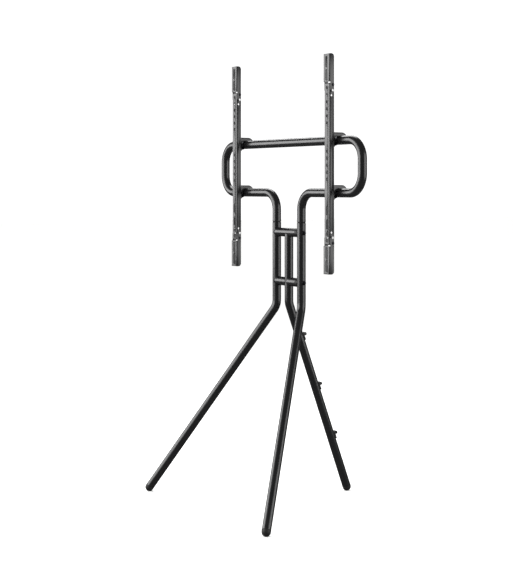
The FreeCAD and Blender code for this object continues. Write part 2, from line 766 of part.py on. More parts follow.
def make_rail(name, x):
    """A folded channel open to the rear, with two rows of holes, slots and slanted notches."""
    body = new_body(name, (x, POST_Y, RAIL_CENTRE))
    outline = [
        (RAIL_FRONT, f"-{RAIL_HALF}", "rail_front_corner"),
        (RAIL_REAR, f"-{RAIL_HALF}", "rail_rear_corner"),
        (RAIL_REAR, RAIL_HALF, "rail_rear_corner"),
        (RAIL_FRONT, RAIL_HALF, "rail_front_corner"),
    ]
    make_channel(body, outline, "rail_width", "rail_sheet", RAIL_FRONT, RAIL_REAR,
                 f"-{RAIL_HALF}", RAIL_HALF)
    front = new_sketch(body, f"{name}_front_holes", "XZ_Plane")
    for first, count in (("upper_row_top", 6), ("lower_row_top", 5)):
        for step in range(count):
            draw_circle(front, ZERO, f"{first} - {step} * hole_pitch", "hole_diameter / 2")
    for step in range(2):
        draw_slot(front, ZERO, f"(rail_slot_upper - {step} * rail_slot_pitch)",
                  "rail_slot_length", "hole_diameter")
        draw_slot(front, ZERO, f"(notch_upper - {step} * notch_pitch)",
                  "notch_length", "notch_width", "notch_tilt")
    pocket(body, front)
    side = new_sketch(body, f"{name}_side_holes", "YZ_Plane")
    for end in ENDS:
        draw_circle(side, f"pivot_inset - {STAND_OFF}", f"{end} * {PIVOT_RISE}", "pin_shank / 2")
        draw_circle(side, f"lock_hole_inset - {STAND_OFF}",
                    f"{end} * ({RAIL_HALF} - lock_hole_drop)", "lock_hole_diameter / 2")
        draw_circle(side, f"side_hole_inset - {STAND_OFF}",
                    f"{end} * ({RAIL_HALF} - side_hole_drop)", "side_hole_diameter / 2")
    pocket(body, side)
    keep(body)


def make_arm(name, x, end):
    """An extension arm: a wider channel over the rail's end, turning about its hinge pin."""
    turn = UPRIGHT if end > 0 else UPSIDE_DOWN
    body = new_body(name, (x, PIVOT_Y, f"{RAIL_CENTRE} + {end} * {PIVOT_RISE}"), turn)
    front = f"-{ARM_FRONT}"
    rear = f"(arm_depth - {ARM_FRONT})"
    tip = "(pivot_drop + arm_length)"
    web_start = "(pivot_drop + arm_web_gap)"
    tail = "(pivot_drop - arm_tail)"
    outline = [
        (front, web_start, ZERO),
        (front, tip, "rail_front_corner / 2"),
        (rear, tip, "arm_end_corner"),
        (rear, tail, "rail_front_corner"),
        (f"{front} + arm_relief", tail, "arm_tail_corner"),
        (f"{front} + arm_relief", web_start, ZERO),
    ]
    make_channel(body, outline, ARM_WIDTH, "rail_sheet", front, rear, tail, tip)
    slots = new_sketch(body, f"{name}_slots", "XZ_Plane")
    for step in range(2):
        middle = f"({tip} - arm_slot_margin - arm_slot_length / 2" \
                 f" - {step} * (arm_slot_length + arm_slot_bridge))"
        draw_slot(slots, ZERO, middle, "arm_slot_length", "arm_slot_width")
    pocket(body, slots)
    holes = new_sketch(body, f"{name}_side_holes", "YZ_Plane")
    draw_circle(holes, ZERO, ZERO, "pin_shank / 2 + pin_clearance")
    draw_circle(holes, "lock_hole_inset - pivot_inset", "pivot_drop - lock_hole_drop",
                "lock_hole_diameter / 2")
    pocket(body, holes)
    keep(body)


def make_hinge_pin(name, x, end):
    """A pin across the rail and the arm, with a flat head at each side."""
    half = f"({ARM_WIDTH} / 2 + pin_play)"
    tip = f"({half} + pin_head_height)"
    corners = [
        (ZERO, f"-{tip}", ZERO),
        ("pin_head / 2", f"-{tip}", "pin_head_height / 3"),
        ("pin_head / 2", f"-{half}", ZERO),
        ("pin_shank / 2", f"-{half}", ZERO),
        ("pin_shank / 2", half, ZERO),
        ("pin_head / 2", half, ZERO),
        ("pin_head / 2", tip, "pin_head_height / 3"),
        (ZERO, tip, ZERO),
    ]
    return turned(name, corners, (x, PIVOT_Y, f"{RAIL_CENTRE} + {end} * {PIVOT_RISE}"),
                  TOWARDS_PLUS_X)


def make_hook(name, x, bar_height, riveted):
    """A folded hook: a web against the rail and two cheeks that hang over a bar of the loop."""
    body = new_body(name, (x, POST_Y, bar_height))
    front = f"-{HOOK_WEB}"
    outline = [
        (front, HOOK_RISE, ZERO),
        (HOOK_REACH, HOOK_RISE, "hook_arc"),
        (HOOK_REACH, "-hook_tip_drop", "hook_tip_drop / 2"),
        (ZERO, "-hook_tip_drop", ZERO),
        (ZERO, f"-{BOLT_BELOW} - lock_bolt_ear", ZERO),
        (f"-{BOLT_BEFORE}", f"-{BOLT_BELOW} - lock_bolt_ear", "lock_bolt_ear"),
        (RAIL_REAR, f"-hook_drop + ({HOOK_WEB} + {RAIL_REAR}) / 2", "lock_bolt_ear"),
        (front, "-hook_drop", ZERO),
    ]
    make_channel(body, outline, f"2 * {HOOK_HALF}", "hook_sheet", front, HOOK_REACH,
                 "-hook_drop", HOOK_RISE)
    throat = new_sketch(body, f"{name}_throat", "YZ_Plane")
    lip = f"(lock_bolt_ear - {BOLT_BEFORE})"
    draw_chain(throat, [
        (f"-{THROAT_R}", ZERO, ZERO),
        (f"-{THROAT_R}", "-hook_throat_drop", "hook_tip_drop"),
        (lip, f"-hook_throat_drop - ({THROAT_R} + {lip})", "hook_tip_drop"),
        (lip, f"-hook_drop - {PAST}", ZERO),
        (THROAT_R, f"-hook_drop - {PAST}", ZERO),
        (THROAT_R, ZERO, ZERO),
    ])
    pocket(body, throat)
    crown = new_sketch(body, f"{name}_crown", "YZ_Plane")
    draw_circle(crown, ZERO, ZERO, THROAT_R)
    pocket(body, crown)
    holes = new_sketch(body, f"{name}_holes", "YZ_Plane")
    draw_circle(holes, f"-{BOLT_BEFORE}", f"-{BOLT_BELOW}", "small_screw_shank / 2")
    if riveted:
        draw_circle(holes, f"rivet_inset - {STAND_OFF}", "rivet_rise", "rivet_shank / 2")
    pocket(body, holes)
    keep(body)


def make_hook_rivets(side, x, bar_height):
    """A dome-headed rivet in each cheek of an upper hook."""
    rivets = []
    for word, sign, turn in (("outer", "+", TOWARDS_MINUS_X), ("inner", "-", TOWARDS_PLUS_X)):
        place = (f"{x} {sign} {HOOK_HALF}", f"{POST_Y} + rivet_inset - {STAND_OFF}",
                 f"{bar_height} + rivet_rise")
        rivets.append(headed(f"{side}_{word}_rivet", "rivet_shank / 2", "hook_sheet + rivet_tail",
                             "rivet_head / 2", "rivet_head_height", place, turn))
    keep_group(f"{side}_hook_rivets", rivets)


def make_lock_bolt(name, x, bar_height):
    """The anti-lift bolt that crosses both cheeks under the front of the bar."""
    length = f"2 * {HOOK_HALF} + lock_nut_height + lock_bolt_end"
    place = (f"{x} + {HOOK_HALF}", f"{POST_Y} - {BOLT_BEFORE}",
             f"{bar_height} - {BOLT_BELOW}")
    return headed(name, "small_screw_shank / 2", length, "small_screw_head / 2",
                  "small_screw_height", place, TOWARDS_MINUS_X)


def make_lock_nut(name, x, bar_height):
    """The hexagon nut on the lock bolt, against the inner cheek."""
    place = (f"{x} - {HOOK_HALF}", f"{POST_Y} - {BOLT_BEFORE}",
             f"{bar_height} - {BOLT_BELOW}")
    body = new_body(name, place, TOWARDS_MINUS_X)
    section = new_sketch(body, f"{name}_section", "XY_Plane")
    across = "(lock_nut_flats / 2 / cos(30))"
    turn = 360 // NUT_SIDES
    draw_chain(section, [(f"{across} * cos({turn * i})", f"{across} * sin({turn * i})", ZERO)
                         for i in range(NUT_SIDES)])
    draw_circle(section, ZERO, ZERO, "small_screw_shank / 2")
    pad(body, section, "lock_nut_height")
    return body


def make_rail_set(side, x):
    """One rail with its two hooks, two arms, hinge pins, rivets, lock bolts and nuts."""
    make_rail(f"{side}_rail", x)
    pins = []
    bolts = []
    nuts = []
    levels = (("upper", 1, UPPER_BAR), ("lower", -1, LOWER_BAR))
    for level, end, bar_height in levels:
        make_arm(f"{side}_{level}_arm", x, end)
        make_hook(f"{side}_{level}_hook", x, bar_height, riveted=end > 0)
        pins.append(make_hinge_pin(f"{side}_{level}_pin", x, end))
        bolts.append(make_lock_bolt(f"{side}_{level}_bolt", x, bar_height))
        nuts.append(make_lock_nut(f"{side}_{level}_nut", x, bar_height))
    make_hook_rivets(side, x, UPPER_BAR)
    keep_group(f"{side}_hinge_pins", pins)
    keep_group(f"{side}_lock_bolts", bolts)
    keep_group(f"{side}_lock_nuts", nuts)


# ---------------------------------------------------------------- the assembly

make_front_legs()
make_rear_leg()
for cap_leg in (LEFT_LEG, RIGHT_LEG, REAR_LEG):
    make_foot_cap(f"{cap_leg.side}_foot_cap", cap_leg)
make_crossbars()
make_loop()
make_joint("left", "-post_spacing")
make_joint("right", "post_spacing")
make_lock_screws()
for clip_number, clip_name in enumerate(CLIP_NAMES):
    make_cable_clip(clip_name, clip_number)
make_clip_screws()
make_rail_set("left", "-rail_spacing")
make_rail_set("right", "rail_spacing")
doc.recompute()

for item in doc.Objects:
    if "Invalid" in item.State or "Error" in item.State:
        raise RuntimeError(f"{item.Label} did not recompute: {item.State}")
for item in nodes:
    if item.Shape.isNull() or not item.Shape.isValid():
        raise RuntimeError(f"{item.Label} has no valid shape")

os.makedirs("parts", exist_ok=True)
for item in nodes:
    item.Shape.exportStep(f"parts/{item.Label}.step")
    print(f"{item.Label}: {len(item.Shape.Solids)} solid(s), {item.Shape.Volume / 1000:.2f} cm3")
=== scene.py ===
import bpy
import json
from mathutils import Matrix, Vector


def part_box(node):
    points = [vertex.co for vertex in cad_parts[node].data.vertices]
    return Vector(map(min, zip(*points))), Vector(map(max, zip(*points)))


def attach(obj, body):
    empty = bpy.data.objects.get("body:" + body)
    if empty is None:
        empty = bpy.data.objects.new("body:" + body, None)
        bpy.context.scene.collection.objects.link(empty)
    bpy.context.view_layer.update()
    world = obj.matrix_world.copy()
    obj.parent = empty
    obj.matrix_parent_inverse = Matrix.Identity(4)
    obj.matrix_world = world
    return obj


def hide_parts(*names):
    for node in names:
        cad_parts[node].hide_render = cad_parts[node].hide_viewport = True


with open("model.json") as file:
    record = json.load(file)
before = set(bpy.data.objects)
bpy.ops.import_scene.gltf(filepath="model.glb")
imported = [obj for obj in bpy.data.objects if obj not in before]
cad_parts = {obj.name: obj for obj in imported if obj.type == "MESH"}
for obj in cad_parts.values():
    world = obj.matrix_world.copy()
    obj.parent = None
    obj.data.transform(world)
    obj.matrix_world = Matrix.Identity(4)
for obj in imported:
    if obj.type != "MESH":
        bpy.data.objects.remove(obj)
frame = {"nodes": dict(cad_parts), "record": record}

"""The finished look of a tripod floor stand for a flat screen.

The stand is bent and welded steel tube with a satin black powder coat, folded sheet-steel rails
with riveted hooks and fold-back arms, moulded nylon clips and collars, rubber foot caps and
black-oxide screws.
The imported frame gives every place; each class below builds one sub-assembly and dresses it.
"""

import json
import logging
import math
from dataclasses import dataclass, field
from enum import Enum

import bmesh
import bpy
import numpy as np
from mathutils import Vector

LOG = logging.getLogger("tripod_stand")
MM = 0.001
TUBE_LIP = 0.35 * MM
# Rounding of the edges of small turned parts, in mm.
SCREW_EDGE_MM = 0.2
PIN_EDGE_MM = 0.15
# Points closer than this, in metres, are one; faces that meet flatter than FLAT_DEG are one face,
# and edges that turn by more than SHARP_DEG are rounded.
SAME_POINT = 1e-6
FLAT_DEG = 0.4
SHARP_DEG = 34
UP = np.array([0.0, 0.0, 1.0])
RIGHT = np.array([1.0, 0.0, 0.0])


# ------------------------------------------------------------------ reading the frame

def node_box(node: str) -> tuple[np.ndarray, np.ndarray]:
    """The lowest and highest corners of a CAD node, as arrays in metres."""
    low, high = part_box(node)
    return np.array(low), np.array(high)


def node_centre(node: str) -> np.ndarray:
    """The middle of a CAD node's box."""
    low, high = node_box(node)
    return (low + high) / 2


def body_holding(node: str) -> str:
    """The body that a CAD node rides on.

    Args:
        node: the CAD node's name.

    Returns:
        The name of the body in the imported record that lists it.
    """
    bodies = frame["record"]["behaviour"]["bodies"]
    return next(body for body, members in bodies.items() if node in members)


def slot_of(node: str) -> str:
    """The record's material slot for a CAD node."""
    subparts = frame["record"]["subparts"]
    return next(part["material_slot"] for part in subparts if part["node"] == node)


def mount_point(name: str) -> np.ndarray:
    """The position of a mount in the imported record."""
    mounts = frame["record"]["mounts"]
    return np.array(next(mount["pos_m"] for mount in mounts if mount["name"] == name))


# ------------------------------------------------------------------ finishes

def linear(code: str) -> tuple[float, float, float, float]:
    """A display colour as linear light.

    Args:
        code: an sRGB colour such as "#101011".

    Returns:
        Red, green, blue and alpha; each channel is ((c + 0.055) / 1.055) ** 2.4 above the
        straight toe of the sRGB curve and c / 12.92 on it.
    """
    channels = np.array([int(code[i:i + 2], 16) / 255 for i in (1, 3, 5)])
    curved = ((channels + 0.055) / 1.055) ** 2.4
    red, green, blue = np.where(channels > 0.04045, curved, channels / 12.92)
    return float(red), float(green), float(blue), 1.0


def add_node(tree: bpy.types.NodeTree, kind: str, settings: dict | None = None,
             inputs: dict | None = None) -> bpy.types.Node:
    """Add one node with its settings, its input values and its links.

    Args:
        tree: the node tree that takes the node.
        kind: the node's type name.
        settings: properties of the node itself.
        inputs: socket name or number to a value, or to an output socket that feeds it.

    Returns:
        The new node.
    """
    node = tree.nodes.new(kind)
    for name, value in (settings or {}).items():
        setattr(node, name, value)
    for name, value in (inputs or {}).items():
        if isinstance(value, bpy.types.NodeSocket):
            tree.links.new(value, node.inputs[name])
        else:
            node.inputs[name].default_value = value
    return node


def new_material(name: str) -> bpy.types.Material:
    """An empty node material."""
    material = bpy.data.materials.new(name)
    material.use_nodes = True
    material.node_tree.nodes.clear()
    return material


def feature_scale(size_mm: float) -> float:
    """The noise scale, in features per metre, whose features are about size_mm across."""
    return 1.0 / (size_mm * MM)


@dataclass(frozen=True)
class Coating:
    """A surface that is one colour with a fine relief, a slow mottle and small gloss changes.

    The relief is what a coat or a mould leaves: orange peel on powder coat, spark grain on nylon.
    """

    name: str
    shade: str
    worn_shade: str
    roughness: float
    roughness_spread: float
    relief_mm: float
    relief_height_mm: float
    mottle_mm: float = 45.0
    metallic: float = 0.0
    ior: float = 1.5
    specular: float = 0.5

    def build(self) -> bpy.types.Material:
        """The material: mottled colour and roughness over a fine bump, all in object space."""
        material = new_material(self.name)
        tree = material.node_tree
        place = add_node(tree, "ShaderNodeTexCoord").outputs["Object"]
        mottle = add_node(tree, "ShaderNodeTexNoise", inputs={
            "Vector": place, "Scale": feature_scale(self.mottle_mm), "Detail": 4.0,
            "Roughness": 0.55})
        grain = add_node(tree, "ShaderNodeTexNoise", inputs={
            "Vector": place, "Scale": feature_scale(self.relief_mm), "Detail": 2.0,
            "Roughness": 0.5})
        colour = add_node(tree, "ShaderNodeMix", {"data_type": "RGBA"}, {
            "Factor": mottle.outputs["Fac"], "A": linear(self.shade),
            "B": linear(self.worn_shade)})
        low = self.roughness - self.roughness_spread
        high = self.roughness + self.roughness_spread
        gloss = add_node(tree, "ShaderNodeMapRange", inputs={
            "Value": mottle.outputs["Fac"], "From Min": 0.3, "From Max": 0.7,
            "To Min": low, "To Max": high})
        bump = add_node(tree, "ShaderNodeBump", inputs={
            "Height": grain.outputs["Fac"], "Strength": 1.0,
            "Distance": self.relief_height_mm * MM})
        surface = add_node(tree, "ShaderNodeBsdfPrincipled", inputs={
            "Base Color": colour.outputs["Result"], "Roughness": gloss.outputs["Result"],
            "Metallic": self.metallic, "IOR": self.ior, "Specular IOR Level": self.specular,
            "Normal": bump.outputs["Normal"]})
        add_node(tree, "ShaderNodeOutputMaterial", inputs={"Surface": surface.outputs["BSDF"]})
        return material


@dataclass(frozen=True)
class FloorPaper:
    """The studio's pale paper floor."""

    name: str = "pale_paper"
    shade: str = "#f4f4f3"
    fibre_mm: float = 6.0

    def build(self) -> bpy.types.Material:
        """A matt pale sheet with a barely visible fibre mottle."""
        material = new_material(self.name)
        tree = material.node_tree
        place = add_node(tree, "ShaderNodeTexCoord").outputs["Object"]
        fibre = add_node(tree, "ShaderNodeTexNoise", inputs={
            "Vector": place, "Scale": feature_scale(self.fibre_mm), "Detail": 3.0})
        colour = add_node(tree, "ShaderNodeMix", {"data_type": "RGBA"}, {
            "Factor": fibre.outputs["Fac"], "A": linear(self.shade), "B": linear("#f7f7f6")})
        surface = add_node(tree, "ShaderNodeBsdfPrincipled", inputs={
            "Base Color": colour.outputs["Result"], "Roughness": 0.9,
            "Specular IOR Level": 0.1})
        add_node(tree, "ShaderNodeOutputMaterial", inputs={"Surface": surface.outputs["BSDF"]})
        return material


class Finish(Enum):
    """The finishes on the stand, one for each way that a piece is made."""

    # Satin black powder coat on bent tube: black body, soft sheen, a faint orange peel.
    TUBE_COAT = Coating("satin_powder_coat_on_tube", "#0d0d0e", "#131314", 0.27, 0.02, 1.6, 0.002)
    # The same coat on flat sheet lies a little flatter and wears grey on the hooks.
    SHEET_COAT = Coating("satin_powder_coat_on_sheet", "#0f0f10", "#161617", 0.31, 0.03, 1.3, 0.002)
    # Injection-moulded nylon: spark-eroded grain, no mirror, slightly grey black.
    NYLON = Coating("moulded_nylon", "#0a0a0a", "#101010", 0.50, 0.04, 0.5, 0.004, specular=0.3)
    # Moulded rubber: matt, takes dust, so its lighter mottle is stronger.
    RUBBER = Coating("moulded_rubber", "#0a0a0a", "#141413", 0.58, 0.05, 0.8, 0.006, 12.0)
    # Black oxide on alloy-steel screws: thin, oily, dark grey where tools touch.
    BLACK_OXIDE = Coating("black_oxide_steel", "#151517", "#1f1f22", 0.36, 0.05, 0.4, 0.001,
                          3.0, 1.0)
    # Zinc plate on turned inserts and sleeves: pale, faintly clouded metal.
    ZINC = Coating("zinc_plated_steel", "#a9abae", "#8f9296", 0.38, 0.08, 0.6, 0.001, 6.0, 1.0)
    PAPER = FloorPaper()


SLOT_FINISH = {
    "tube_black": Finish.TUBE_COAT,
    "sheet_black": Finish.SHEET_COAT,
    "moulded_black": Finish.NYLON,
    "foot_rubber": Finish.RUBBER,
    "screw_black": Finish.BLACK_OXIDE,
    "plain_steel": Finish.ZINC,
}


class PaintShop:
    """Makes each material once and hands it out."""

    def __init__(self) -> None:
        """Start with no material made."""
        self.made: dict[Finish, bpy.types.Material] = {}

    def material(self, finish: Finish) -> bpy.types.Material:
        """The material of a finish, built on first use."""
        if finish not in self.made:
            self.made[finish] = finish.value.build()
        return self.made[finish]

    def dress(self, piece: bpy.types.Object, finish: Finish) -> None:
        """Give a piece that finish all over."""
        piece.data.materials.clear()
        piece.data.materials.append(self.material(finish))


SHOP = PaintShop()


# ------------------------------------------------------------------ surfaces

def signed_volume(points: np.ndarray, corners: np.ndarray) -> float:
    """Six times the volume inside triangles: the sum of a . (b x c)."""
    a, b, c = (points[corners[:, i]] for i in range(3))
    return float(np.einsum("ij,ij->i", a, np.cross(b, c)).sum())


def grid_object(name: str, grid: np.ndarray) -> bpy.types.Object:
    """A closed surface from rings of points.

    Row i, column j of the grid is joined to its neighbours in quads; columns wrap round, and each
    end row is closed by a fan to its own mean point. The faces are turned so that they point out.

    Args:
        name: the object's name.
        grid: points as (rows, columns, 3), in metres in the row frame.

    Returns:
        The new object, linked, smooth shaded and at the origin.
    """
    rows, columns, _ = grid.shape
    poles = np.array([grid[0].mean(axis=0), grid[-1].mean(axis=0)])
    points = np.concatenate([grid.reshape(-1, 3), poles])
    first_pole = rows * columns
    i, j = np.meshgrid(np.arange(rows - 1), np.arange(columns), indexing="ij")
    following = (j + 1) % columns
    quads = np.stack([i * columns + j, i * columns + following,
                      (i + 1) * columns + following, (i + 1) * columns + j], axis=-1).reshape(-1, 4)
    around = np.arange(columns)
    ahead = (around + 1) % columns
    last = (rows - 1) * columns
    fans = np.concatenate([
        np.stack([ahead, around, np.full(columns, first_pole)], axis=-1),
        np.stack([last + around, last + ahead, np.full(columns, first_pole + 1)], axis=-1)])
    triangles = np.concatenate([quads[:, [0, 1, 2]], quads[:, [0, 2, 3]], fans])
    if signed_volume(points, triangles) < 0:
        quads = quads[:, ::-1]
        fans = fans[:, ::-1]
    return mesh_object(name, points, [quads, fans])


def mesh_object(name: str, points: np.ndarray, face_sets: list[np.ndarray]) -> bpy.types.Object:
    """A smooth-shaded object at the origin from points and arrays of faces.

    Args:
        name: the object's and the mesh's name.
        points: vertices as (count, 3).
        face_sets: one array for each number of corners, as (faces, corners).

    Returns:
        The new object, linked to the scene.
    """
    mesh = bpy.data.meshes.new(name)
    corners = np.concatenate([faces.ravel() for faces in face_sets])
    totals = np.concatenate([np.full(len(faces), faces.shape[1]) for faces in face_sets])
    starts = np.concatenate([[0], np.cumsum(totals)[:-1]])
    mesh.vertices.add(len(points))
    mesh.vertices.foreach_set("co", points.astype(np.float32).ravel())
    mesh.loops.add(len(corners))
    mesh.loops.foreach_set("vertex_index", corners.astype(np.int32))
    mesh.polygons.add(len(totals))
    mesh.polygons.foreach_set("loop_start", starts.astype(np.int32))
    mesh.polygons.foreach_set("use_smooth", np.ones(len(totals), dtype=bool))
    mesh.update(calc_edges=True)
    mesh.validate()
    piece = bpy.data.objects.new(name, mesh)
    bpy.context.scene.collection.objects.link(piece)
    return piece


def rounded_path(corners: np.ndarray, radii: list[float], per_turn: int = 96) -> np.ndarray:
    """A flat path of straight runs whose corners are arcs.

    Each corner with radius r is replaced by an arc that starts r / tan(half the inside angle)
    before it, and its points are centre + r * (cos t, sin t) with t spread evenly over the turn.

    Args:
        corners: points as (count, 2).
        radii: one radius per corner, zero for a sharp one.
        per_turn: arc points for a full turn.

    Returns:
        The path's points as (count, 2).
    """
    pieces = []
    for k, (corner, radius) in enumerate(zip(corners, radii)):
        if radius == 0:
            pieces.append(corner[None, :])
            continue
        back = corners[k - 1] - corner
        ahead = corners[(k + 1) % len(corners)] - corner
        back = back / np.linalg.norm(back)
        ahead = ahead / np.linalg.norm(ahead)
        half = math.acos(float(np.clip(back @ ahead, -1, 1))) / 2
        middle = (back + ahead) / np.linalg.norm(back + ahead)
        centre = corner + middle * radius / math.sin(half)
        enter = corner + back * radius / math.tan(half) - centre
        turn = math.pi - 2 * half
        side = 1.0 if back[0] * ahead[1] - back[1] * ahead[0] < 0 else -1.0
        count = max(3, int(math.ceil(per_turn * turn / (2 * math.pi))) + 1)
        angles = np.linspace(0.0, turn, count) * side
        cosine, sine = np.cos(angles), np.sin(angles)
        arc = np.stack([cosine * enter[0] - sine * enter[1],
                        sine * enter[0] + cosine * enter[1]], axis=-1)
        pieces.append(centre + arc)
    return np.concatenate(pieces)


def spaced(path: np.ndarray, longest: float) -> np.ndarray:
    """Divide the long runs of a path evenly, so that no step is longer than longest."""
    steps = np.linalg.norm(np.diff(path, axis=0), axis=1)
    counts = np.maximum(1, np.ceil(steps / longest)).astype(int)
    along = np.concatenate([[0.0], np.cumsum(steps)])
    inner = [np.linspace(a, b, n, endpoint=False) for a, b, n in zip(along, along[1:], counts)]
    stations = np.concatenate([*inner, along[-1:]])
    return np.stack([np.interp(stations, along, path[:, k]) for k in range(path.shape[1])], axis=-1)


def tube_grid(path: np.ndarray, radius: float, origin: np.ndarray, level: np.ndarray,
              segments: int = 48) -> np.ndarray:
    """Carry a circle along a flat path that stands on edge.

    A path point (u, w) lies at origin + u * level + w * up. The circle there is
    radius * (cos t * n + sin t * b), where n is square to the path within its plane and b is the
    plane's own normal, so the section never twists.

    Args:
        path: points as (count, 2) in the standing plane.
        radius: the tube's outer radius.
        origin: the plane's origin in the row frame.
        level: the plane's level direction.
        segments: points round the circle.

    Returns:
        Rings of points as (count, segments, 3).
    """
    ahead = np.gradient(path, axis=0)
    ahead = ahead / np.linalg.norm(ahead, axis=1, keepdims=True)
    centres = origin + path[:, :1] * level + path[:, 1:] * UP
    across = -ahead[:, 1:] * level + ahead[:, :1] * UP
    normal = np.cross(level, UP)
    turn = np.linspace(0.0, 2 * math.pi, segments, endpoint=False)
    ring = (np.cos(turn)[None, :, None] * across[:, None, :]
            + np.sin(turn)[None, :, None] * normal[None, None, :])
    return centres[:, None, :] + radius * ring


def with_lips(grid: np.ndarray, lip: float) -> np.ndarray:
    """Round the two ends of a carried or lofted surface over by a small lip.

    Each end ring is pulled in by lip, square to the run, and full-size rings stand lip and three
    lips inside it, so that the side's shading stays even right up to the end.

    Args:
        grid: rings of points as (rows, columns, 3).
        lip: the width of the rounding.

    Returns:
        The grid with two more rings at each end.
    """
    ends = []
    for end, beside in ((grid[0], grid[1]), (grid[-1], grid[-2])):
        inward = beside.mean(axis=0) - end.mean(axis=0)
        inward = inward / np.linalg.norm(inward)
        spoke = end - end.mean(axis=0)
        spoke = spoke - (spoke @ inward)[:, None] * inward
        spoke = spoke / np.linalg.norm(spoke, axis=1, keepdims=True)
        ends.append(np.stack([end - spoke * lip, end + inward * lip, end + inward * 3 * lip]))
    return np.concatenate([ends[0], grid[1:-1], ends[1][::-1]])


def turned_grid(profile: np.ndarray, foot: np.ndarray, axis: np.ndarray,
                segments: int = 48) -> np.ndarray:
    """Turn a half profile about an axis.

    A profile point (r, s) becomes the ring foot + s * axis + r * (cos t * e1 + sin t * e2), where
    e1 and e2 are square to the axis and to each other.

    Args:
        profile: points as (count, 2): radius, then distance along the axis.
        foot: the axis's zero point.
        axis: the axis's direction, of length one.
        segments: points round each ring.

    Returns:
        Rings of points as (count, segments, 3).
    """
    helper = UP if abs(axis[2]) < 0.9 else RIGHT
    first = np.cross(helper, axis)
    first = first / np.linalg.norm(first)
    second = np.cross(axis, first)
    turn = np.linspace(0.0, 2 * math.pi, segments, endpoint=False)
    spoke = np.cos(turn)[:, None] * first + np.sin(turn)[:, None] * second
    return (foot + profile[:, 1][:, None, None] * axis
            + profile[:, 0][:, None, None] * spoke[None, :, :])


def fit_out(piece: bpy.types.Object, node: str, replace: bool = True) -> bpy.types.Object:
    """Put a new piece on its CAD node's body and slot, dressed in that slot's finish.

    Args:
        piece: the new piece, in place.
        node: the CAD node that it belongs to.
        replace: whether it stands for the node, which is then hidden.

    Returns:
        The piece.
    """
    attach(piece, body_holding(node))
    if replace:
        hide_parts(node)
    slot = slot_of(node)
    SHOP.dress(piece, SLOT_FINISH[slot])
    LOG.info("%s: %d faces on %s", piece.name, len(piece.data.polygons), body_holding(node))
    return piece


def edge_rounded(node: str, name: str, width_mm: float, segments: int = 2) -> bpy.types.Object:
    """A piece with a CAD node's own shape whose sharp edges are rounded as a coat rounds them.

    The node's mesh is copied, its loose triangles are merged and its flat faces made whole; a Bevel
    modifier then rounds each edge that turns by more than the angle limit.

    Args:
        node: the CAD node to follow and replace.
        name: the new piece's name.
        width_mm: the width of the rounding.
        segments: steps across the rounding.

    Returns:
        The finished piece.
    """
    mesh = frame["nodes"][node].data.copy()
    mesh.name = name
    work = bmesh.new()
    work.from_mesh(mesh)
    bmesh.ops.remove_doubles(work, verts=work.verts, dist=SAME_POINT)
    bmesh.ops.dissolve_limit(work, angle_limit=math.radians(FLAT_DEG), verts=work.verts,
                             edges=work.edges)
    for face in work.faces:
        face.smooth = True
    work.to_mesh(mesh)
    work.free()
    piece = bpy.data.objects.new(name, mesh)
    bpy.context.scene.collection.objects.link(piece)
    rounding = piece.modifiers.new("edge_rounding", "BEVEL")
    rounding.width = width_mm * MM
    rounding.segments = segments
    rounding.limit_method = "ANGLE"
    rounding.angle_limit = math.radians(SHARP_DEG)
    rounding.harden_normals = True
    return fit_out(piece, node)


def socket_head(name: str, seat: np.ndarray, axis: np.ndarray, radius: float,
                height: float, shank: float, length: float) -> bpy.types.Object:
    """A button-headed screw with a hexagon socket.

    The half profile runs from the socket's floor up its wall, over the domed head and down the
    shank. In the socket the ring's radius follows a hexagon: apothem / cos(t within +-30 degrees).

    Args:
        name: the piece's name.
        seat: the middle of the seat under the head.
        axis: the direction in which the shank leaves the seat.
        radius: the head's radius.
        height: the head's height.
        shank: the shank's radius.
        length: the shank's length.

    Returns:
        The screw.
    """
    socket = radius * 0.36
    dome = np.linspace(0.0, math.pi / 2, 10)
    crown = np.stack([socket * 1.18 + (radius - socket * 1.18) * np.sin(dome),
                      -height + height * 0.8 * (1 - np.cos(dome))], axis=-1)
    recess = np.array([[socket * 0.2, -height * 0.35], [socket, -height * 0.35],
                       [socket, -height * 0.9], [socket * 1.08, -height * 0.99]])
    under = np.array([[radius, -height * 0.1], [radius * 0.97, 0.0], [shank * 1.08, 0.0],
                      [shank, shank * 0.2], [shank, length - shank * 0.3], [shank * 0.7, length]])
    profile = np.concatenate([recess, crown, under])
    segments = 48
    grid = turned_grid(profile, seat, axis, segments)
    turn = np.linspace(0.0, 2 * math.pi, segments, endpoint=False)
    sector = (turn + math.pi / 6) % (math.pi / 3) - math.pi / 6
    hexagon = 1.0 / np.cos(sector)
    for row in (1, 2):
        centre = seat + profile[row, 1] * axis
        grid[row] = centre + (grid[row] - centre) * hexagon[:, None]
    return grid_object(name, grid)


# ------------------------------------------------------------------ legs

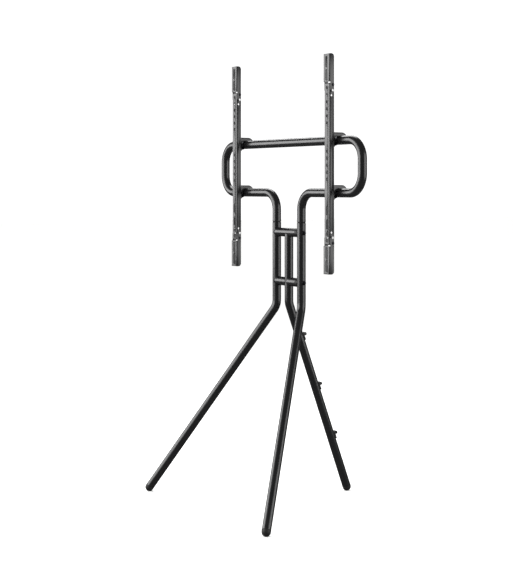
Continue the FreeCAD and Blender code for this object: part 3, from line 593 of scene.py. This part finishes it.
@dataclass
class TripodLegs:
    """Three bent tube legs with their rubber foot caps."""

    front_knee: float = 0.5775
    rear_knee: float = 0.588
    knee_bend: float = 0.052
    cap_skirt: float = 0.0045
    cap_lip: float = 0.0004
    ring_step: float = 0.02
    tube_radius: float = field(init=False)
    dome_height: float = field(init=False)

    def __post_init__(self) -> None:
        """Take the tube's radius and the foot domes' height from the frame."""
        low, high = node_box("upper_crossbar")
        self.tube_radius = float(high[2] - low[2]) / 2
        self.dome_height = math.sqrt(self.tube_radius ** 2 - (3 * MM) ** 2)

    def leg_plane(self, post: np.ndarray, rest: np.ndarray) -> tuple[np.ndarray, float]:
        """The level direction from a post to its foot, and the distance."""
        reach = rest - post
        reach[2] = 0.0
        run = float(np.linalg.norm(reach))
        return reach / run, run

    def build_leg(self, node: str, post: np.ndarray, rest: np.ndarray, knee: float,
                  top: float) -> None:
        """One leg and its cap.

        Args:
            node: the leg's CAD node.
            post: a point on the post's axis.
            rest: the point where the foot meets the floor.
            knee: the height where the post's axis and the slanted axis would cross.
            top: the height of the post's end.
        """
        origin = np.array([post[0], post[1], 0.0])
        level, run = self.leg_plane(post, rest)
        slope = np.array([run, self.dome_height - knee])
        slope = slope / np.linalg.norm(slope)
        end = np.array([run, self.dome_height]) - slope * self.cap_skirt
        path = rounded_path(np.array([[0.0, top], [0.0, knee], end]), [0.0, self.knee_bend, 0.0])
        grid = tube_grid(spaced(path, self.ring_step), self.tube_radius, origin, level)
        fit_out(grid_object(f"{node}_tube", with_lips(grid, TUBE_LIP)), node)
        dome = origin + level * run + UP * self.dome_height
        axis = -(level * slope[0] + UP * slope[1])
        self.build_cap(node, dome, axis)

    def build_cap(self, leg: str, dome: np.ndarray, axis: np.ndarray) -> None:
        """A domed cap with a moulded bead at its lip and a level flat where it stands.

        The dome's rings are radius * sin(a) wide at -radius * cos(a) along the leg's axis; every
        point that would lie under the floor is raised to it, which makes the flat.

        Args:
            leg: the name of the cap's leg.
            dome: the dome's centre.
            axis: the direction up the leg.
        """
        radius = self.tube_radius
        angle = np.linspace(0.02, math.pi / 2, 20)
        bowl = np.stack([radius * np.sin(angle), -radius * np.cos(angle)], axis=-1)
        lip = np.array([
            [radius, self.cap_skirt * 0.55],
            [radius + self.cap_lip, self.cap_skirt * 0.70],
            [radius + self.cap_lip, self.cap_skirt * 0.95],
            [radius - 0.2 * MM, self.cap_skirt + 0.15 * MM],
            [radius - 1.6 * MM, self.cap_skirt + 0.15 * MM],
        ])
        grid = turned_grid(np.concatenate([bowl, lip]), dome, axis)
        grid[..., 2] = np.maximum(grid[..., 2], 0.0)
        node = leg.replace("front_", "").replace("_leg", "_foot_cap")
        fit_out(grid_object(f"{node}_dome", grid), node)

    def build(self) -> None:
        """All three legs."""
        left = node_centre("left_joint_ring")
        right = node_centre("right_joint_ring")
        middle = (left + right) / 2
        joint = float(node_box("left_joint_ring")[0][2])
        rear_top = float(node_box("rear_leg")[1][2])
        self.build_leg("front_left_leg", left, mount_point("left_foot_rest"),
                       self.front_knee, joint)
        self.build_leg("front_right_leg", right, mount_point("right_foot_rest"),
                       self.front_knee, joint)
        self.build_leg("rear_leg", middle, mount_point("rear_foot_rest"), self.rear_knee, rear_top)


# ------------------------------------------------------------------ loop and joints

@dataclass
class UpperLoop:
    """The one-piece tube loop, the rings at its joints and the screws that lock them."""

    lower_bar_height: float = 0.9185
    post_bend: float = 0.052
    end_bend: float = 0.055
    ring_step: float = 0.02

    def build_tube(self) -> None:
        """The loop: up from the left post, out, round both ends and across, down to the right."""
        low, high = node_box("upper_loop_frame")
        radius = (high[1] - low[1]) / 2
        post = float(node_centre("right_joint_ring")[0])
        start = float(node_box("right_joint_ring")[1][2])
        side = float(high[0] - radius)
        top = float(high[2] - radius)
        bar = self.lower_bar_height
        half = [(post, start), (post, bar), (side, bar), (side, top)]
        left = [(-x, z) for x, z in half]
        corners = np.array(left + half[::-1])
        bends = [0.0, self.post_bend, self.end_bend, self.end_bend]
        path = spaced(rounded_path(corners, bends + bends[::-1]), self.ring_step)
        origin = np.array([0.0, (low[1] + high[1]) / 2, 0.0])
        grid = tube_grid(path, float(radius), origin, RIGHT)
        fit_out(grid_object("loop_tube", with_lips(grid, TUBE_LIP)), "upper_loop_frame")

    def build_ring(self, side: str) -> None:
        """A joint ring with softened edges, set back a little from the tube."""
        node = f"{side}_joint_ring"
        low, high = node_box(node)
        radius = float(high[0] - low[0]) / 2
        height = float(high[2] - low[2])
        edge = height * 0.12
        inner = radius * 0.9
        profile = np.array([[inner, 0.0], [radius - edge, 0.0], [radius, edge],
                            [radius, height - edge], [radius - edge, height], [inner, height]])
        centre = node_centre(node)
        foot = np.array([centre[0], centre[1], low[2]])
        fit_out(grid_object(f"{node}_band", turned_grid(profile, foot, UP)), node)

    def build(self) -> None:
        """The loop and everything at its joints."""
        self.build_tube()
        for side in ("left", "right"):
            self.build_ring(side)
        edge_rounded("joint_lock_screws", "set_screws", SCREW_EDGE_MM)


# ------------------------------------------------------------------ crossbars

@dataclass
class Crossbars:
    """The crossbars between the posts, with collars, bolts, washers and weld beads."""

    weld_radius: float = 0.0014
    weld_ripples: int = 36
    weld_ripple_share: float = 0.10
    stations: int = 24
    collar_edge_mm: float = 0.4
    bolt_head_height: float = 3.3 * MM
    bolt_shank_radius: float = 3.0 * MM

    def coped_tube(self, node: str, left_post: float | None, right_post: float | None) -> None:
        """A crossbar whose ends follow the round of the posts that it meets.

        Along the bar, x runs evenly between its ends; a coped end at ring angle t lies at
        post +- sqrt(R^2 - (R cos t)^2), the surface of a post of the bar's own radius R.

        Args:
            node: the crossbar's CAD node.
            left_post: the post's x where the left end is coped, or None where it is square.
            right_post: the same for the right end.
        """
        low, high = node_box(node)
        centre = node_centre(node)
        radius = float(high[2] - low[2]) / 2
        turn = np.linspace(0.0, 2 * math.pi, 64, endpoint=False)
        across = radius * np.cos(turn)
        saddle = np.sqrt(np.maximum(radius ** 2 - across ** 2, 0.0))
        start = np.full_like(turn, low[0]) if left_post is None else left_post + saddle
        end = np.full_like(turn, high[0]) if right_post is None else right_post - saddle
        start = np.maximum(start, low[0])
        end = np.minimum(end, high[0])
        share = np.linspace(0.0, 1.0, self.stations)[:, None]
        x = start + (end - start) * share
        y = np.broadcast_to(centre[1] + across, x.shape)
        z = np.broadcast_to(centre[2] + radius * np.sin(turn), x.shape)
        grid = with_lips(np.stack([x, y, z], axis=-1), TUBE_LIP)
        fit_out(grid_object(f"{node}_tube", grid), node)

    def weld_bead(self, name: str, post_x: float, side: float, node: str) -> None:
        """A weld bead round a coped end.

        The bead's line is where two equal tubes meet, x = post +- sqrt(R^2 - y^2), and its section
        is a small circle, rippled by a sine of the distance round.

        Args:
            name: the piece's name.
            post_x: the post's x.
            side: +1 where the bar leaves the post to the right, -1 to the left.
            node: the welded crossbar's CAD node.
        """
        centre = node_centre(node)
        low, high = node_box(node)
        radius = float(high[2] - low[2]) / 2
        turn = np.linspace(0.0, 2 * math.pi, 144, endpoint=False)
        y = radius * np.cos(turn)
        line = np.stack([post_x + side * np.sqrt(np.maximum(radius ** 2 - y ** 2, (4 * MM) ** 2)),
                         centre[1] + y, centre[2] + radius * np.sin(turn)], axis=-1)
        outward = np.stack([np.zeros_like(turn), np.cos(turn), np.sin(turn)], axis=-1)
        along_bar = np.array([side, 0.0, 0.0])
        section = np.linspace(0.0, 2 * math.pi, 12, endpoint=False)
        ripple = self.weld_radius * (
            1.0 + self.weld_ripple_share * np.sin(self.weld_ripples * turn))
        grid = (line[None, :, :] + ripple[None, :, None] * (
            np.cos(section)[:, None, None] * outward[None, :, :]
            + np.sin(section)[:, None, None] * along_bar))
        fit_out(closed_torus(name, grid), node, replace=False)

    def build_bolts(self) -> None:
        """The bolts that come in from the right post's outer side."""
        for level in ("upper", "lower"):
            node = f"{level}_crossbar_bolt"
            low, high = node_box(node)
            radius = float(high[2] - low[2]) / 2
            height = self.bolt_head_height
            seat = node_centre(node)
            seat[0] = high[0] - height
            length = float(seat[0] - low[0])
            bolt = socket_head(f"{level}_bolt", seat, -RIGHT, radius, height,
                               self.bolt_shank_radius, length)
            fit_out(bolt, node)

    def build(self) -> None:
        """Every crossbar and what holds it."""
        left = float(node_centre("left_joint_ring")[0])
        self.coped_tube("upper_crossbar", left, None)
        self.coped_tube("lower_crossbar_left", left, 0.0)
        self.coped_tube("lower_crossbar_right", 0.0, None)
        self.weld_bead("upper_left_weld", left, 1.0, "upper_crossbar")
        self.weld_bead("lower_left_weld", left, 1.0, "lower_crossbar_left")
        for level in ("upper", "lower"):
            edge_rounded(f"{level}_crossbar_collar", f"{level}_collar", self.collar_edge_mm)
        edge_rounded("crossbar_washers", "saddle_washers", SCREW_EDGE_MM)
        self.build_bolts()


def closed_torus(name: str, grid: np.ndarray) -> bpy.types.Object:
    """A ring-shaped surface: both the rows and the columns of the grid wrap round.

    Args:
        name: the piece's name.
        grid: points as (rows, columns, 3).

    Returns:
        The new object, its faces pointing out.
    """
    rows, columns, _ = grid.shape
    points = grid.reshape(-1, 3)
    i, j = np.meshgrid(np.arange(rows), np.arange(columns), indexing="ij")
    below, after = (i + 1) % rows, (j + 1) % columns
    quads = np.stack([i * columns + j, i * columns + after, below * columns + after,
                      below * columns + j], axis=-1).reshape(-1, 4)
    triangles = np.concatenate([quads[:, [0, 1, 2]], quads[:, [0, 2, 3]]])
    if signed_volume(points - points.mean(axis=0), triangles) < 0:
        quads = quads[:, ::-1]
    return mesh_object(name, points, [quads])


# ------------------------------------------------------------------ clips and rails

@dataclass
class CableClips:
    """The three moulded cable clips behind the rear leg, and their screws."""

    edge_mm: float = 0.5
    levels: tuple[str, ...] = ("upper", "middle", "lower")

    def build(self) -> None:
        """Every clip with softened moulded edges, and the screws in their bases."""
        for level in self.levels:
            edge_rounded(f"{level}_cable_clip", f"{level}_clip", self.edge_mm, 3)
        edge_rounded("cable_clip_screws", "clip_screws", SCREW_EDGE_MM)


class Level(Enum):
    """Which end of a rail a piece belongs to."""

    UPPER = "upper"
    LOWER = "lower"


@dataclass
class RailSet:
    """One rail with its hooks, extension arms, pins, rivets, lock bolts and nuts."""

    side: str
    sheet_edge_mm: float = 0.3
    hook_edge_mm: float = 0.35
    nut_edge_mm: float = 0.25
    bolt_head_radius: float = 4.5 * MM
    bolt_head_height: float = 2.6 * MM
    bolt_shank_radius: float = 2.5 * MM

    def build(self) -> None:
        """The rail first, then what it carries at each end."""
        edge_rounded(f"{self.side}_rail", f"{self.side}_rail_channel", self.sheet_edge_mm)
        for level in Level:
            stem = f"{self.side}_{level.value}"
            edge_rounded(f"{stem}_arm", f"{stem}_extension_arm", self.sheet_edge_mm)
            edge_rounded(f"{stem}_hook", f"{stem}_bar_hook", self.hook_edge_mm)
        edge_rounded(f"{self.side}_hinge_pins", f"{self.side}_pins", PIN_EDGE_MM)
        edge_rounded(f"{self.side}_hook_rivets", f"{self.side}_rivets", PIN_EDGE_MM)
        edge_rounded(f"{self.side}_lock_nuts", f"{self.side}_nuts", self.nut_edge_mm)
        self.build_lock_bolts()

    def build_lock_bolts(self) -> None:
        """The anti-lift bolts across the hooks' cheeks."""
        node = f"{self.side}_lock_bolts"
        low, high = node_box(node)
        radius = self.bolt_head_radius
        height = self.bolt_head_height
        for level, z in ((Level.UPPER, high[2] - radius), (Level.LOWER, low[2] + radius)):
            seat = np.array([high[0] - height, (low[1] + high[1]) / 2, z])
            bolt = socket_head(f"{self.side}_{level.value}_lock_bolt", seat, -RIGHT, radius,
                               height, self.bolt_shank_radius, float(seat[0] - low[0]))
            fit_out(bolt, node)


def dress_hidden_steel() -> None:
    """Give the CAD nodes that stay, inside the tubes, their own finish."""
    for name, node in frame["nodes"].items():
        if not node.hide_render:
            SHOP.dress(node, SLOT_FINISH[slot_of(name)])
            LOG.info("%s: kept from the frame", name)


# ------------------------------------------------------------------ studio

@dataclass(frozen=True)
class Softbox:
    """A large soft light: where it stands, how large it is and how bright its face is."""

    name: str
    bearing: float
    distance: float
    height: float
    size: tuple[float, float]
    power: float

    def build(self, aim: Vector) -> None:
        """Hang the light at its bearing, in degrees from +X towards +Y, facing the aim point."""
        light = bpy.data.lights.new(self.name, "AREA")
        light.shape = "RECTANGLE"
        light.size, light.size_y = self.size
        light.energy = self.power
        lamp = bpy.data.objects.new(self.name, light)
        turn = math.radians(self.bearing)
        lamp.location = (self.distance * math.cos(turn), self.distance * math.sin(turn),
                         self.height)
        lamp.rotation_euler = (aim - lamp.location).to_track_quat("-Z", "Y").to_euler()
        bpy.context.scene.collection.objects.link(lamp)


@dataclass
class Studio:
    """A pale floor, soft light and the camera."""

    floor_half: float = 30.0
    view_turn: float = 56.92
    view_distance: float = 4.0533
    view_aside: float = 0.0972
    view_height: float = 0.9317
    lens_mm: float = 83.09
    lens_rise: float = -0.1787
    sensor_width_mm: float = 36.0
    view_limit: float = 200.0
    aim_height: float = 0.9
    surround_strength: float = 1.15
    reflected_strength: float = 0.12
    softboxes: tuple[Softbox, ...] = (
        Softbox("front_left_softbox", -122.0, 3.2, 1.5, (4.2, 2.2), 170.0),
        Softbox("right_softbox", 34.0, 3.2, 1.1, (2.6, 2.2), 60.0),
        Softbox("overhead_softbox", 150.0, 2.2, 3.2, (2.0, 2.0), 60.0),
    )

    def build_floor(self) -> None:
        """One large level sheet, not part of the object."""
        half = self.floor_half
        points = np.array([[-half, -half, 0.0], [half, -half, 0.0], [half, half, 0.0],
                           [-half, half, 0.0]])
        floor = mesh_object("studio_floor", points, [np.array([[0, 1, 2, 3]])])
        SHOP.dress(floor, Finish.PAPER)
        floor.visible_glossy = False

    def build_world(self) -> None:
        """Even pale surroundings, dim in reflections so that only the softboxes shine."""
        world = bpy.data.worlds.new("studio")
        world.use_nodes = True
        tree = world.node_tree
        tree.nodes.clear()
        ray = add_node(tree, "ShaderNodeLightPath")
        pale = add_node(tree, "ShaderNodeBackground", inputs={
            "Color": linear("#ffffff"), "Strength": self.surround_strength})
        dim = add_node(tree, "ShaderNodeBackground", inputs={
            "Color": linear("#ffffff"), "Strength": self.reflected_strength})
        mixed = add_node(tree, "ShaderNodeMixShader", inputs={
            0: ray.outputs["Is Glossy Ray"], 1: pale.outputs["Background"],
            2: dim.outputs["Background"]})
        add_node(tree, "ShaderNodeOutputWorld", inputs={"Surface": mixed.outputs["Shader"]})
        bpy.context.scene.world = world

    def build_camera(self, post_y: float) -> None:
        """The camera, level, to the right of the front and far enough off for a long lens."""
        turn = math.radians(self.view_turn)
        lens = bpy.data.cameras.new("camera")
        lens.lens = self.lens_mm
        lens.sensor_width = self.sensor_width_mm
        lens.shift_y = self.lens_rise
        lens.clip_end = self.view_limit
        camera = bpy.data.objects.new("camera", lens)
        camera.location = (
            self.view_distance * math.sin(turn) - self.view_aside * math.cos(turn),
            post_y - self.view_distance * math.cos(turn) - self.view_aside * math.sin(turn),
            self.view_height,
        )
        camera.rotation_euler = (math.radians(90), 0.0, turn)
        bpy.context.scene.collection.objects.link(camera)
        bpy.context.scene.camera = camera

    def build(self) -> None:
        """Everything round the stand."""
        self.build_floor()
        self.build_world()
        post_y = float(node_centre("left_joint_ring")[1])
        for softbox in self.softboxes:
            softbox.build(Vector((0.0, 0.0, self.aim_height)))
        self.build_camera(post_y)
        bpy.context.scene.view_settings.view_transform = "Standard"


def main() -> None:
    """Build the stand's sub-assemblies in order, then the studio."""
    logging.basicConfig(level=logging.INFO, format="%(name)s: %(message)s")
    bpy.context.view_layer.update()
    for assembly in (TripodLegs(), UpperLoop(), Crossbars(), CableClips(),
                     RailSet("left"), RailSet("right")):
        assembly.build()
        LOG.info("%s done", type(assembly).__name__)
    dress_hidden_steel()
    Studio().build()


if __name__ == "__main__":
    main()
